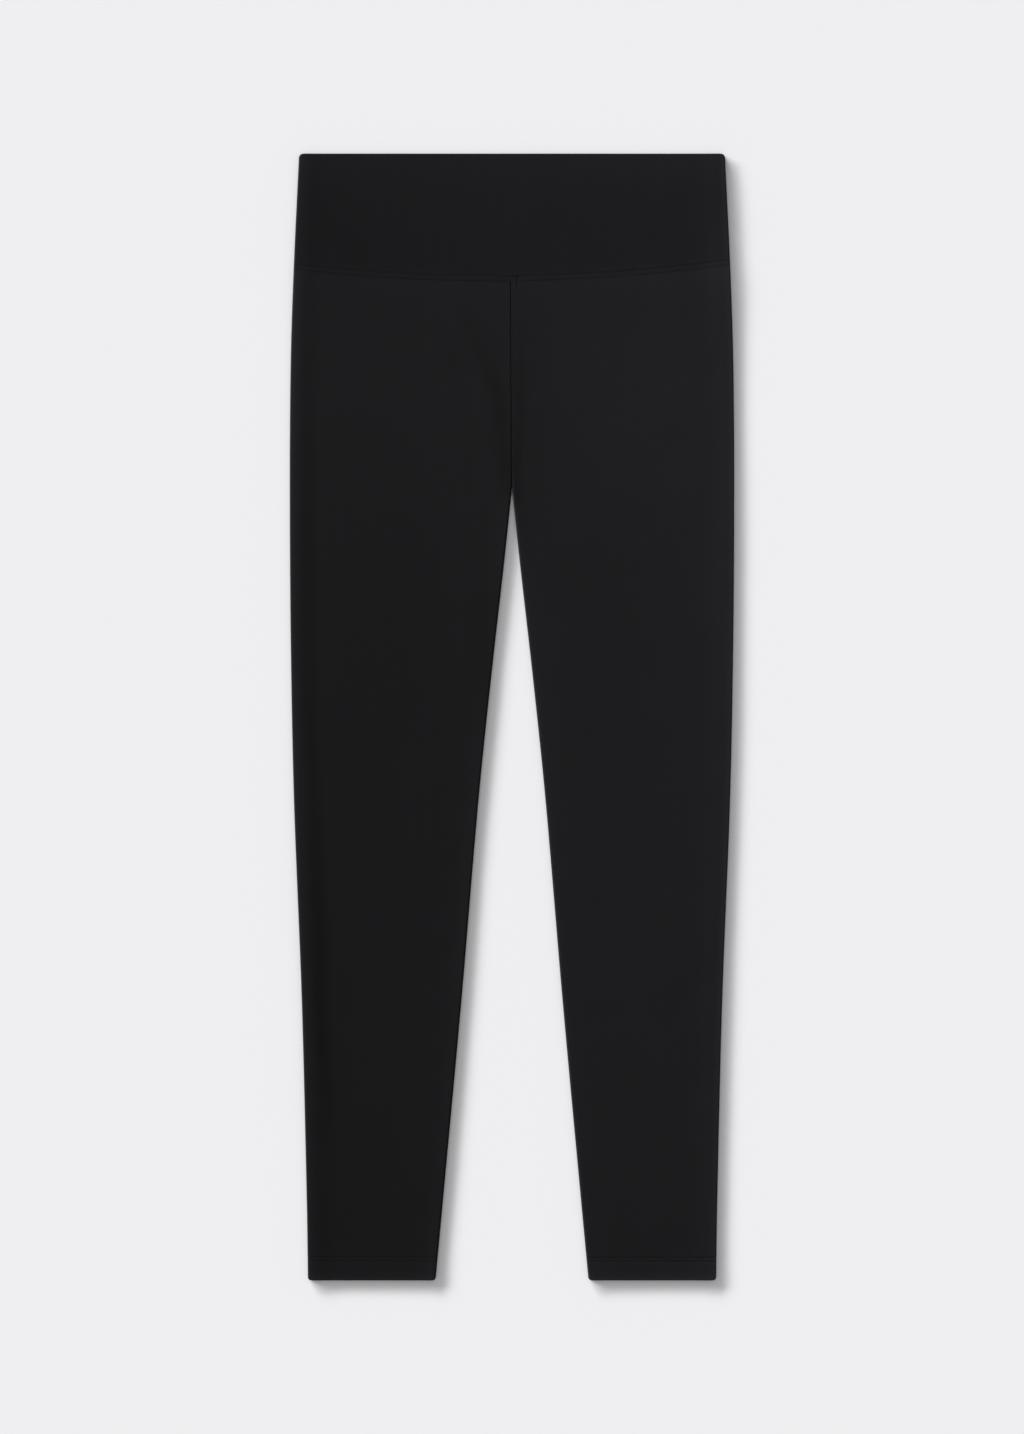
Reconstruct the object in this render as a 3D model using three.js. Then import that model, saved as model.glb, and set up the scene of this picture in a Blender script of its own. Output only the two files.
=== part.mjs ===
// A pair of high-waisted leggings in black stretch knit, laid flat with the front up.
//
// Four panels make the garment. Each leg is one panel that wraps from the inseam over the front, round the
// outer fold and over the back to the inseam again. Above the crotch the two legs meet at the centre front and
// centre back seams. The deep waistband has a front and a back panel, each folded double at the waist edge, and
// the two meet at the sides. The hems are turned up, so the knit is thicker there.
//
// Millimetres. +X points to the wearer's left, +Y from the hems to the waist, +Z up. The origin lies on the
// surface that the leggings rest on, below the middle of their outline. "Along" is the distance from the waist
// edge towards the hems, and "out" is the distance from the centre line.
import * as THREE from "three";

// The garment's main sizes
const LENGTH = 950;
const CROTCH = 282;

// The waist seam, where the waistband meets the legs: it dips at the centre and lies slightly askew
const WAIST_SEAM_CENTRE = 107;
const WAIST_SEAM_BOW = 11.5;
const WAIST_SEAM_TILT = 1.9;

// Thickness of the cloth, and the space that sewn edges keep
const LEG_WALL = 1;
const HEM_WALL = 1.8;
const BAND_WALL = 1.8;
const SEAM_GAP = 0.3;
const EDGE_SHARE = 0.3; // what is left of a wall's thickness at its rounded edge

// How high the front lies above the surface, and how far it rises or swells near the seams, folds and edges
const LEG_LOFT = 2.6;
const BAND_LOFT = 4.1;
const WAIST_EDGE_DROP = { height: 0.2, reach: 26 };
const BELOW_SEAM_RISE = { height: 1.2, reach: 26 };
const FOLD_SWELL = { height: 1.3, reach: 15 };
const BAND_FOLD_SWELL = { height: 0.8, reach: 20 };
const INSEAM_SWELL = { height: 0.9, reach: 10 };

// The turned-up hem, which thickens over its slope, and the ridges over the seams' turned allowances
const HEM = { depth: 19, rise: 1.3, slope: 10 };
const RIDGE = { height: 0.45, slope: 1.5 };
const WAIST_ALLOWANCE = 4.8;
const CENTRE_ALLOWANCE = 5.8;

// The two edges of a leg lie flat above the crotch. Over this stretch they turn towards each other.
const TURN_START = CROTCH - 18;
const TURN_END = CROTCH + 2;

// Radii of the turned cloth: across the outer fold, across the inseam, and of the corners seen from above
const FOLD_RADIUS = 3.4;
const INSEAM_RADIUS = 3;
const WAIST_CORNER = 3.4;
const HEM_CORNER = 2.5;

// Where the outer fold and the inseam run, seen from above
const FOLD_LINE = [
  { along: 0, out: 179.5 },
  { along: 97, out: 184.1 },
  { along: 174, out: 186.6 },
  { along: 275, out: 187.4 },
  { along: 411, out: 186.6 },
  { along: 545, out: 183.9 },
  { along: 714, out: 177.3 },
  { along: 883, out: 173.1 },
  { along: LENGTH, out: 172.1 },
];
const INSEAM_LINE = [
  { along: CROTCH, out: 0 },
  { along: 343, out: 6.4 },
  { along: 444, out: 17.8 },
  { along: 545, out: 28.2 },
  { along: 714, out: 42.6 },
  { along: 883, out: 58.2 },
  { along: LENGTH, out: 64.5 },
];

// The creases in the front. Each is a trough through its places, between two low shoulders, which are a share of its
// depth high and spread wider. "Across" is signed to the wearer's left.
const SHOULDER = { share: 0.6, spread: 2.5 };
const CREASES = [
  {
    halfWidth: 8, // from the right hip to the crotch
    places: [
      { across: -48, along: 120, depth: 0.15 },
      { across: -28, along: 164, depth: 0.6 },
      { across: -10, along: 208, depth: 0.8 },
      { across: -6.5, along: 274, depth: 0.5 },
    ],
  },
  {
    halfWidth: 5, // beside the centre seam
    places: [
      { across: 6.5, along: 166, depth: 0.1 },
      { across: 7.4, along: 222, depth: 0.8 },
      { across: 5.5, along: 276, depth: 0.7 },
      { across: 20, along: 310, depth: 0.2 },
    ],
  },
  {
    halfWidth: 9, // inside the right leg's outer fold
    places: [
      { across: -172, along: 200, depth: 0.2 },
      { across: -170.5, along: 343, depth: 1 },
      { across: -167, along: 500, depth: 0.7 },
      { across: -161, along: 630, depth: 1.2 },
      { across: -159.5, along: 730, depth: 1.3 },
      { across: -156, along: 812, depth: 0.7 },
      { across: -155, along: 880, depth: 0.1 },
    ],
  },
  {
    halfWidth: 16, // across the waistband's right end
    places: [
      { across: -162, along: 28, depth: 0.15 },
      { across: -150, along: 60, depth: 0.45 },
      { across: -132, along: 92, depth: 0.25 },
    ],
  },
];

const RIGHT = -1;
const LEFT = 1;
const FRONT = 1;
const BACK = -1;

const lerp = THREE.MathUtils.lerp;

// 0 before one value, 1 past the other, and a smooth step between them, whichever is larger.
function step(from, to, value) {
  const share = THREE.MathUtils.clamp((value - from) / (to - from), 0, 1);
  return share * share * (3 - 2 * share);
}

// Its whole height at no distance, falling away smoothly over its reach.
function swell({ height, reach }, distance) {
  return height * Math.exp(-((distance / reach) ** 2));
}

// The ridge over a seam allowance, at a distance from the seam.
function ridge(allowance, fromSeam) {
  return RIDGE.height * step(allowance + RIDGE.slope, allowance, fromSeam);
}

// A smooth curve through a table of places: how far out it runs at a distance along.
function curveThrough(table) {
  const spline = new THREE.CubicInterpolant(
    table.map((place) => place.along),
    table.map((place) => place.out),
    1,
  );
  return (along) => spline.evaluate(along)[0];
}

const foldCurve = curveThrough(FOLD_LINE);
const inseamCurve = curveThrough(INSEAM_LINE);

// How much a round corner takes off at a distance from the cloth's end.
function cornerCut(fromEnd, radius) {
  return fromEnd < radius ? radius - Math.sqrt(radius ** 2 - (radius - fromEnd) ** 2) : 0;
}

// Distance from the centre line to the outer fold.
function foldOut(along) {
  return foldCurve(along) - cornerCut(along, WAIST_CORNER) - cornerCut(LENGTH - along, HEM_CORNER);
}

// Distance from the centre line to the centre seam above the crotch, and to the inseam below it.
function inseamOut(along) {
  return Math.max(SEAM_GAP / 2, inseamCurve(along)) + cornerCut(LENGTH - along, HEM_CORNER);
}

// How far the waist seam lies from the waist edge, from -1 at the right side to 1 at the left.
function waistSeam(lateral) {
  return WAIST_SEAM_CENTRE - WAIST_SEAM_BOW * lateral ** 2 - WAIST_SEAM_TILT * lateral;
}

// How far the leg's two edges are turned towards each other: 0 above the crotch, 1 along the inseam.
function turned(along) {
  return step(TURN_START, TURN_END, along);
}

// 0 above the hem, 1 where the cloth is double.
function inHem(along) {
  return step(HEM.depth + HEM.slope / 2, HEM.depth - HEM.slope / 2, LENGTH - along);
}

// The depth of the creases at a place of the front. It is below 0 on their shoulders.
function creaseDepth(across, along) {
  let depth = 0;
  for (const { halfWidth, places } of CREASES) {
    let nearest = { distance: Infinity, height: 0 };
    for (let i = 1; i < places.length; i++) {
      const [from, to] = [places[i - 1], places[i]];
      const run = new THREE.Vector2(to.across - from.across, to.along - from.along);
      const offset = new THREE.Vector2(across - from.across, along - from.along);
      const share = THREE.MathUtils.clamp(offset.dot(run) / run.lengthSq(), 0, 1);
      const distance = offset.addScaledVector(run, -share).length();
      if (distance < nearest.distance) nearest = { distance, height: lerp(from.depth, to.depth, share) };
    }
    const { distance, height } = nearest;
    depth += swell({ height, reach: halfWidth }, distance);
    depth -= swell({ height: SHOULDER.share * height, reach: SHOULDER.spread * halfWidth }, distance);
  }
  return depth;
}

// Height of a leg's front above the surface. The centre seam's allowance is turned to the wearer's left.
function legHeight(side, out, along) {
  const belowSeam = along - waistSeam((side * out) / foldOut(along));
  const fromFold = foldCurve(along) - out;
  const fromInseam = out - Math.max(0, inseamCurve(along));
  const allowance = side === LEFT ? ridge(CENTRE_ALLOWANCE, fromInseam) : 0;
  return (
    LEG_LOFT +
    swell(BELOW_SEAM_RISE, belowSeam) +
    HEM.rise * inHem(along) +
    swell(FOLD_SWELL, fromFold) +
    lerp(allowance, swell(INSEAM_SWELL, fromInseam), turned(along)) -
    creaseDepth(side * out, along)
  );
}

// Height of the waistband's front above the surface. Its lower edge covers the seam allowance, turned up.
function bandHeight(across, along) {
  const aboveSeam = waistSeam(across / foldOut(along)) - along;
  const fromFold = foldCurve(along) - Math.abs(across);
  return (
    BAND_LOFT -
    swell(WAIST_EDGE_DROP, along) +
    swell(BAND_FOLD_SWELL, fromFold) +
    ridge(WAIST_ALLOWANCE, aboveSeam) -
    creaseDepth(across, along)
  );
}

// The wall is thinner towards a rounded edge: this is the share of its thickness at a distance from that edge.
function edgeShare(fromEdge, wall) {
  const inward = THREE.MathUtils.clamp(fromEdge / (wall / 2), 0, 1);
  return lerp(EDGE_SHARE, 1, Math.sqrt(1 - (1 - inward) ** 2));
}

// One place of a wall, from its middle, the way that its right side faces, and its thickness there.
function wallPlace(middle, facing, thickness) {
  return {
    rightSide: middle.clone().addScaledVector(facing, thickness / 2),
    wrongSide: middle.clone().addScaledVector(facing, -thickness / 2),
  };
}

// A closed wall over rows of places. Its right side faces up when the rows run along and the columns to +X.
function wallGeometry(rows, flipped) {
  const perRow = rows[0].length;
  const places = rows.flat();
  const points = [...places.map((place) => place.rightSide), ...places.map((place) => place.wrongSide)];
  const index = [];
  const quad = (a, b, c, d) => {
    index.push(...(flipped ? [a, c, b, a, d, c] : [a, b, c, a, c, d]));
  };
  const right = (row, column) => row * perRow + column;
  const wrong = (row, column) => places.length + right(row, column);
  for (let row = 1; row < rows.length; row++) {
    for (let column = 1; column < perRow; column++) {
      const corners = [
        [row - 1, column - 1],
        [row, column - 1],
        [row, column],
        [row - 1, column],
      ];
      quad(...corners.map((corner) => right(...corner)));
      quad(...corners.toReversed().map((corner) => wrong(...corner)));
    }
  }
  const rim = (a, b) => quad(right(...a), right(...b), wrong(...b), wrong(...a));
  for (let column = 1; column < perRow; column++) {
    rim([0, column - 1], [0, column]);
    rim([rows.length - 1, column], [rows.length - 1, column - 1]);
  }
  for (let row = 1; row < rows.length; row++) {
    rim([row, 0], [row - 1, 0]);
    rim([row - 1, perRow - 1], [row, perRow - 1]);
  }
  const geometry = new THREE.BufferGeometry().setFromPoints(points).setIndex(index);
  geometry.computeVertexNormals();
  return geometry;
}

// Stations from one end of a span to the other: near ones measured from each end, and even ones between them.
function stations(fromStart, between, fromEnd) {
  const evenly = Array.from({ length: between }, (_, i) => (i + 1) / (between + 1));
  return (span) => {
    const first = fromStart.at(-1);
    const last = span - fromEnd[0];
    return [
      ...fromStart,
      ...evenly.map((share) => lerp(first, last, share)),
      ...fromEnd.map((distance) => span - distance),
    ];
  };
}

// Places across a leg's front and back, from the seam to where the fold's turn begins
const INSEAM_TURN = [0, 0.5, 1.2, 2.1, INSEAM_RADIUS];
const BESIDE_SEAM = [...INSEAM_TURN, CENTRE_ALLOWANCE, 7.4, 10, 17, 26, 37];
const ACROSS_LEG_FRONT = stations(BESIDE_SEAM, 3, [44, 30, 23, 17, 10, FOLD_RADIUS]);
const ACROSS_LEG_BACK = stations([...INSEAM_TURN, 20], 5, [20, FOLD_RADIUS]);
const FOLD_TURNS = [36, 72, 108, 144]; // degrees

// Rows along a leg: distances below the waist seam, closest at the crotch, and distances above the hem's edge
const LEG_TOP = WAIST_SEAM_CENTRE + SEAM_GAP / 2;
const BELOW_SEAM = [
  0, 0.5, 5, 14, 28, 48, 70, 92, 114, 134, 150, 158, 166, 171, 175, 180, 190, 210, 240, 285, 335, 390, 450, 510,
  570, 630, 690, 745, 790,
];
const ABOVE_EDGE = [24, 19, 14, 5, HEM_CORNER, 1.1, 0.4, 0];
const LEG_ROWS = [...BELOW_SEAM, ...ABOVE_EDGE.map((above) => LENGTH - LEG_TOP - above)];
const SEAM_DIP_REACH = 150; // the rows lose the waist seam's dip within this distance

// Where a row lies: beside the waist seam near the top, and straight across further down.
function legAlong(lateral, row) {
  const dip = WAIST_SEAM_CENTRE - waistSeam(lateral);
  return LEG_TOP + row - dip * (1 - step(0, SEAM_DIP_REACH, row));
}

// One place of a leg's front or back: a share of the way from its seam to the outer fold, on a row.
function legSheetPlace(side, layer, row, fromSeam, span) {
  const share = fromSeam / span;
  const along = legAlong(side * share, row);
  const seamOut = inseamOut(along);
  const out = seamOut + share * (foldOut(along) - seamOut);
  const wall = lerp(LEG_WALL, HEM_WALL, inHem(along));
  const height = legHeight(side, out, along);
  const thickness = wall * edgeShare(Math.min(fromSeam, row, LENGTH - along), wall);
  const flat = layer === FRONT ? height - wall / 2 : wall / 2;
  // Near the inseam the sheet turns down, or up, to meet its other edge at half the height.
  const turn = (Math.PI / 2) * THREE.MathUtils.clamp(1 - fromSeam / INSEAM_RADIUS, 0, 1);
  const bend = turned(along);
  const radius = INSEAM_RADIUS - wall / 2;
  const middle = height / 2 + (layer * SEAM_GAP) / 2;
  const roundOut = seamOut + INSEAM_RADIUS - radius * Math.sin(turn);
  const roundHeight = lerp(middle, flat, Math.cos(turn));
  const facing = new THREE.Vector3(-side * bend * Math.sin(turn), 0, layer * lerp(1, Math.cos(turn), bend));
  return wallPlace(
    new THREE.Vector3(
      side * (turn > 0 ? lerp(out, roundOut, bend) : out),
      LENGTH / 2 - along,
      lerp(flat, roundHeight, bend),
    ),
    facing.normalize(),
    thickness,
  );
}

// One place of a leg's outer fold: degrees round the turn from the front to the back, on a row.
function legFoldPlace(side, row, degrees, span) {
  const along = legAlong((side * (span - FOLD_RADIUS)) / span, row);
  const wall = lerp(LEG_WALL, HEM_WALL, inHem(along));
  const start = foldOut(along) - FOLD_RADIUS;
  const height = legHeight(side, start, along);
  const turn = THREE.MathUtils.degToRad(degrees);
  const out = start + (FOLD_RADIUS - wall / 2) * Math.sin(turn);
  const up = height / 2 + (height / 2 - wall / 2) * Math.cos(turn);
  return wallPlace(
    new THREE.Vector3(side * out, LENGTH / 2 - along, up),
    new THREE.Vector3(side * Math.sin(turn), 0, Math.cos(turn)),
    wall * edgeShare(Math.min(row, LENGTH - along), wall),
  );
}

// A leg panel: front, outer fold and back in one piece of cloth.
function legGeometry(side) {
  const rows = LEG_ROWS.map((row) => {
    const span = foldOut(LEG_TOP + row) - inseamOut(LEG_TOP + row);
    const front = ACROSS_LEG_FRONT(span).map((fromSeam) => legSheetPlace(side, FRONT, row, fromSeam, span));
    const fold = FOLD_TURNS.map((degrees) => legFoldPlace(side, row, degrees, span));
    const back = ACROSS_LEG_BACK(span).map((fromSeam) => legSheetPlace(side, BACK, row, fromSeam, span));
    return [...front, ...fold, ...back.reverse()];
  });
  return wallGeometry(rows, side === RIGHT);
}

// Places across a waistband panel's flat, and rows from the waist edge to the waist seam
const ACROSS_BAND_FRONT = stations([FOLD_RADIUS, 10, 20, 34], 9, [34, 20, 10, FOLD_RADIUS]);
const ACROSS_BAND_BACK = stations([FOLD_RADIUS, 30], 7, [30, FOLD_RADIUS]);
const WAIST_EDGE_ROWS = [0, 0.3, 0.9, 2, WAIST_CORNER];
const ALONG_BAND = stations([...WAIST_EDGE_ROWS, 10, 20, 32], 2, [18, 6.4, WAIST_ALLOWANCE, 0.9, 0.3, 0]);
const SIDE_TURNS = [1, 0.68, 0.34]; // shares of the turn at the side: 1 is at the side seam

// One place of a waistband panel: from -1 at its right side to 1 at its left, on one of its rows, and turned at
// the side by a share of the way from the flat to the side seam.
function bandPlace(layer, lateral, share, rowNumber) {
  const seam = waistSeam(lateral) - SEAM_GAP / 2;
  const along = ALONG_BAND(seam)[rowNumber];
  const across = lateral * foldOut(along);
  const height = bandHeight(across, along);
  const side = Math.sign(across);
  const reach = (height - BAND_WALL) / 2;
  const radius = FOLD_RADIUS - BAND_WALL / 2;
  const turn = share * Math.acos(SEAM_GAP / 2 / reach);
  const facing = (share * Math.PI) / 2;
  const fromSideSeam = share > 0 ? (1 - share) * radius * (Math.PI / 2) : radius;
  return wallPlace(
    new THREE.Vector3(
      across + side * radius * Math.sin(turn),
      LENGTH / 2 - along,
      height / 2 + layer * reach * Math.cos(turn),
    ),
    new THREE.Vector3(side * Math.sin(facing), 0, layer * Math.cos(facing)),
    BAND_WALL * edgeShare(Math.min(along, seam - along, fromSideSeam), BAND_WALL),
  );
}

// A waistband panel, rounded down or up to the side seams at both ends.
function bandGeometry(layer, acrossStations) {
  const span = 2 * foldOut(WAIST_SEAM_CENTRE);
  const laterals = acrossStations(span).map((fromSide) => (2 * fromSide) / span - 1);
  const columns = [
    ...SIDE_TURNS.map((share) => ({ lateral: laterals[0], share })),
    ...laterals.map((lateral) => ({ lateral, share: 0 })),
    ...SIDE_TURNS.toReversed().map((share) => ({ lateral: laterals.at(-1), share })),
  ];
  const rows = ALONG_BAND(WAIST_SEAM_CENTRE).map((_, rowNumber) =>
    columns.map(({ lateral, share }) => bandPlace(layer, lateral, share, rowNumber)),
  );
  return wallGeometry(rows, layer === BACK);
}

// Black double-sided knit, matt with a faint sheen
const legKnit = new THREE.MeshStandardMaterial({ color: 0x1c1b1e, roughness: 0.85, metalness: 0 });
const bandKnit = new THREE.MeshStandardMaterial({ color: 0x1a191c, roughness: 0.88, metalness: 0 });

function panel(name, geometry, material) {
  const mesh = new THREE.Mesh(geometry, material);
  mesh.name = name;
  return mesh;
}

const leggings = new THREE.Group();
leggings.name = "leggings";
leggings.add(
  panel("leg_right", legGeometry(RIGHT), legKnit),
  panel("leg_left", legGeometry(LEFT), legKnit),
  panel("waistband_front", bandGeometry(FRONT, ACROSS_BAND_FRONT), bandKnit),
  panel("waistband_back", bandGeometry(BACK, ACROSS_BAND_BACK), bandKnit),
);

export default leggings;
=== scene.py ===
"""High-waisted leggings in black stretch knit, laid flat on a pale floor with the front up.

Metres. +X points to the wearer's left, +Y from the hems to the waist, +Z up. "Along" is the distance from
the waist edge towards the hems. "Out" is the distance from the centre line, and "across" is the same with a
sign, which is positive on the wearer's left. A side is -1 on the right and 1 on the left.
"""
import math

import bmesh
import bpy
from mathutils import Matrix, Vector, noise


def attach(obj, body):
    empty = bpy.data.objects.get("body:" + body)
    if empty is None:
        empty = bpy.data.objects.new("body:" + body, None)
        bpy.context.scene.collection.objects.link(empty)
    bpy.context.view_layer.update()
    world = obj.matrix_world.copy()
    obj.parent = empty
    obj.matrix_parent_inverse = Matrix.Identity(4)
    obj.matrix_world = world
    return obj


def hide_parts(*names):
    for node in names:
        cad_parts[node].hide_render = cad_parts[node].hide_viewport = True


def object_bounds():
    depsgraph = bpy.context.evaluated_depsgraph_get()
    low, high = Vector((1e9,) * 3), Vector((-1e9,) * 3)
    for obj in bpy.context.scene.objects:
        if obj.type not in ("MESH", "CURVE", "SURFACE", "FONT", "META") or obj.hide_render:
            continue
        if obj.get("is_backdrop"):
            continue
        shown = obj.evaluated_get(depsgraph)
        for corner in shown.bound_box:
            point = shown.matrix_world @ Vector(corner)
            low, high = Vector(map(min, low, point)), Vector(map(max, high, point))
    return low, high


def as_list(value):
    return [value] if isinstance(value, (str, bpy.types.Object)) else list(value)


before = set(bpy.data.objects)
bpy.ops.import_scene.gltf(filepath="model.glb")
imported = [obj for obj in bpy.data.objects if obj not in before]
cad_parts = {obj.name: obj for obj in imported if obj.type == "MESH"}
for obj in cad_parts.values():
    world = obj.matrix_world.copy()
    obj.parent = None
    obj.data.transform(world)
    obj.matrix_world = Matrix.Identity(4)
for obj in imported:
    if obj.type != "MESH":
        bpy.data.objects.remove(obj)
cad_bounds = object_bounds()

# Camera
# The leggings are seen from straight above with the waist at the top. They fill most of the picture's
# height, and a long lens keeps the outline free of perspective.
MM = 0.001
PICTURE_PIXELS_HIGH = 1434
LEGGINGS_PIXELS_LONG = 1126
CAMERA_LENS = 100
SENSOR_LONG_SIDE = 36

low_corner, high_corner = cad_bounds
LENGTH = high_corner.y - low_corner.y
picture_height = LENGTH * PICTURE_PIXELS_HIGH / LEGGINGS_PIXELS_LONG

camera = bpy.data.objects.new("camera", bpy.data.cameras.new("camera"))
camera.data.lens = CAMERA_LENS
camera.data.sensor_width = SENSOR_LONG_SIDE
camera.location = (0, 0, picture_height * CAMERA_LENS / SENSOR_LONG_SIDE)
bpy.context.scene.collection.objects.link(camera)
bpy.context.scene.camera = camera

# Legs
# Each leg is one panel of fine double-sided jersey, wrapped from the inseam over the front, round the outer
# fold and over the back. The two are sewn together at the centre front and back, and turned up and
# twin-stitched at the hems.
WAIST_Y = high_corner.y
CROTCH = 282 * MM
WAIST_SEAM_CENTRE = 107.5 * MM
WAIST_SEAM_BOW = 11.5 * MM
WAIST_SEAM_TILT = 1.9 * MM
WAIST_SEAM_TUG = (0.9 * MM, 9 * MM)  # how far the centre seam pulls it down, and over what reach
CENTRE_SEAM_LEAN = (-1.1 * MM, 0.1 * MM)  # where the centre seam lies at the waist and at the crotch, across
EDGE_TURN = (CROTCH - 18 * MM, CROTCH + 2 * MM)  # where the centre seam's two edges turn into the inseams
SEAM_GAP = 0.01 * MM
SEWN_EDGE = 0.15 * MM  # the radius of an edge that turns in at the waist seam
CENTRE_EDGES = {-1: 1.2 * MM, 1: 0.2 * MM}  # and at the centre seam, whose allowance holds up the left side
EDGE_WALL_SHARE = 0.3  # how much of the wall's thickness is left right at a rounded edge
LEG_TOP = WAIST_SEAM_CENTRE + SEAM_GAP / 2
SEAM_DIP_REACH = 150 * MM  # how far below the waist seam the rows of the mesh follow its bow

LEG_WALL = 1.0 * MM
HEM_WALL = 1.3 * MM
LEG_LOFT = 3.1 * MM
FOLD_RADIUS = 1.5 * MM
INSEAM_RADIUS = 1.7 * MM
WAIST_CORNER = 3.4 * MM
HEM_CORNER = 2.5 * MM

FOLD_LINE = [  # along, out
    (0 * MM, 179.5 * MM),
    (97 * MM, 184.1 * MM),
    (174 * MM, 186.6 * MM),
    (275 * MM, 187.4 * MM),
    (411 * MM, 186.6 * MM),
    (545 * MM, 183.9 * MM),
    (714 * MM, 177.3 * MM),
    (883 * MM, 173.1 * MM),
    (LENGTH, 172.1 * MM),
]
INSEAM_LINE = [  # along, out
    (CROTCH, 0 * MM),
    (343 * MM, 6.4 * MM),
    (444 * MM, 17.8 * MM),
    (545 * MM, 28.2 * MM),
    (714 * MM, 42.6 * MM),
    (883 * MM, 58.2 * MM),
    (LENGTH, 64.5 * MM),
]

# Soft rises of the front: their height, and how far they reach from the seam, fold or edge
BELOW_SEAM_RISE = (0.85 * MM, 50 * MM)
FOLD_SWELL = (0.5 * MM, 9 * MM)
FOLD_SWELL_TOP = 7 * MM  # how far inside the fold it is highest
INSEAM_SWELL = (0.4 * MM, 8 * MM)
HEM_RISE = 0.2 * MM
HEM_DEPTH = 19 * MM
HEM_SLOPE = 14 * MM
CENTRE_ALLOWANCE = 5.8 * MM
CENTRE_ALLOWANCE_RIDGE = 0.07 * MM
CENTRE_ALLOWANCE_SLOPE = 3 * MM
DRIFTS = [(0.25 * MM, 75 * MM), (0.08 * MM, 28 * MM)]  # height and length of the cloth's uneven lie
DRIFT_SQUEEZE = 0.6  # it is longer along the leg than across it

# Creases in the front: half their width, then places of across, along and depth in millimetres. Each is a
# trough between two low shoulders, which are a share of its depth high and spread wider. Less light reaches
# into it, and its colour is darkened with painted shade in proportion to its depth.
SHOULDER_SHARE = 0.5
SHOULDER_SPREAD = 2.5
CREASE_SHADE = 0.45 / MM
HIP_CREASE = [
    (-40, 126, 0.03),
    (-34, 146, 0.2),
    (-22, 172, 0.28),
    (-12, 197, 0.3),
    (-7, 222, 0.3),
    (-5, 284, 0.24),
]
CENTRE_SEAM_CREASE = [
    (9, 160, 0.06),
    (9, 197, 0.22),
    (9.5, 222, 0.33),
    (7, 247, 0.32),
    (5, 267, 0.55),
    (6, 292, 0.48),
]
CREASES = [
    (8 * MM, HIP_CREASE),
    (5 * MM, [(-14, 184, 0.03), (-8, 204, 0.12), (-4.5, 222, 0.2), (-3.5, 250, 0.15), (-4, 288, 0.22)]),
    (8 * MM, [(-58, 146, 0.1), (-47, 172, 0.2), (-41, 197, 0.13), (-37, 247, 0.08), (-34, 282, 0.1)]),
    (6.5 * MM, CENTRE_SEAM_CREASE),
    (14 * MM, [(-158, 22, 0.06), (-146, 60, 0.18), (-130, 92, 0.1)]),
    (12 * MM, [(151, 22, 0.03), (132, 56, 0.12), (117, 81, 0.07)]),
    (5 * MM, [(-74, 178, 0.03), (-62, 205, 0.1), (-56, 232, 0.03)]),
    (6 * MM, [(96, 150, 0.03), (88, 190, 0.08), (92, 235, 0.03)]),
]

# The right leg's outer fold is a raised roll. Its inner flank falls to the flat along this line, given as
# along, across and height.
ROLL_FLANK = [
    (130 * MM, -176 * MM, 0),
    (200 * MM, -173 * MM, 0.25 * MM),
    (317 * MM, -172 * MM, 0.4 * MM),
    (452 * MM, -170 * MM, 0.45 * MM),
    (570 * MM, -164.5 * MM, 0.9 * MM),
    (655 * MM, -161.7 * MM, 1.3 * MM),
    (710 * MM, -161.5 * MM, 1.25 * MM),
    (750 * MM, -159.7 * MM, 1.25 * MM),
    (800 * MM, -155 * MM, 0.85 * MM),
    (845 * MM, -152 * MM, 0),
    (880 * MM, -152 * MM, 0),
]
ROLL_FLANK_HALF_WIDTH = 8 * MM

# Stitching and the small puckers beside it
HEM_ROWS = (16.4 * MM, 19.4 * MM)  # above the hem's edge
HEM_STITCH_GROOVE = (0.15 * MM, 0.6 * MM)  # depth and half width
PUCKER_LENGTH = 5.5 * MM
PUCKER_HEIGHT = 0.05 * MM
PUCKER_REACH = 7 * MM
PUCKER_PATTERN = 3.7  # any other number gathers the cloth in other places
CENTRE_PUCKER_SHARE = 0.6
HEM_PUCKER_START = 0.5

# The short notch where the centre seam's bulky allowance ends under the waist seam: how far across it lies,
# its depth and half width, and between which places along it begins and ends
NOTCH_ACROSS = 4.5 * MM
NOTCH_GROOVE = (0.25 * MM, 0.5 * MM)
NOTCH_BEGINS = (101.3 * MM, 103.8 * MM)
NOTCH_ENDS = (111 * MM, 115 * MM)


def lerp(start, end, share):
    return start + (end - start) * share


def step(start, end, value):
    """0 before start, 1 past end, and a smooth step between them, whichever is larger."""
    share = min(max((value - start) / (end - start), 0), 1)
    return share * share * (3 - 2 * share)


def swell(rise, distance):
    """The whole height of a rise at no distance, falling away smoothly over its reach."""
    height, reach = rise
    return height * math.exp(-((distance / reach) ** 2))


def curve(table):
    """A smooth line through a table of places, as a function of along."""

    def slope(i):
        before = table[max(i - 1, 0)]
        after = table[min(i + 1, len(table) - 1)]
        return (after[1] - before[1]) / (after[0] - before[0])

    def out(along):
        i = 1
        while i < len(table) - 1 and table[i][0] < along:
            i += 1
        start, end = table[i - 1], table[i]
        run = end[0] - start[0]
        t = min(max((along - start[0]) / run, 0), 1)
        ends = start[1] * (1 + 2 * t) * (1 - t) ** 2 + end[1] * t * t * (3 - 2 * t)
        return ends + slope(i - 1) * run * t * (1 - t) ** 2 - slope(i) * run * t * t * (1 - t)

    return out


fold_curve = curve(FOLD_LINE)
inseam_curve = curve(INSEAM_LINE)
flank_line = curve([(along, across) for along, across, height in ROLL_FLANK])
flank_height = curve([(along, height) for along, across, height in ROLL_FLANK])


def corner_cut(from_end, radius):
    """How much a round corner takes off at a distance from the cloth's end."""
    inward = max(radius - max(from_end, 0), 0)
    return radius - math.sqrt(radius**2 - inward**2)


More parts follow.
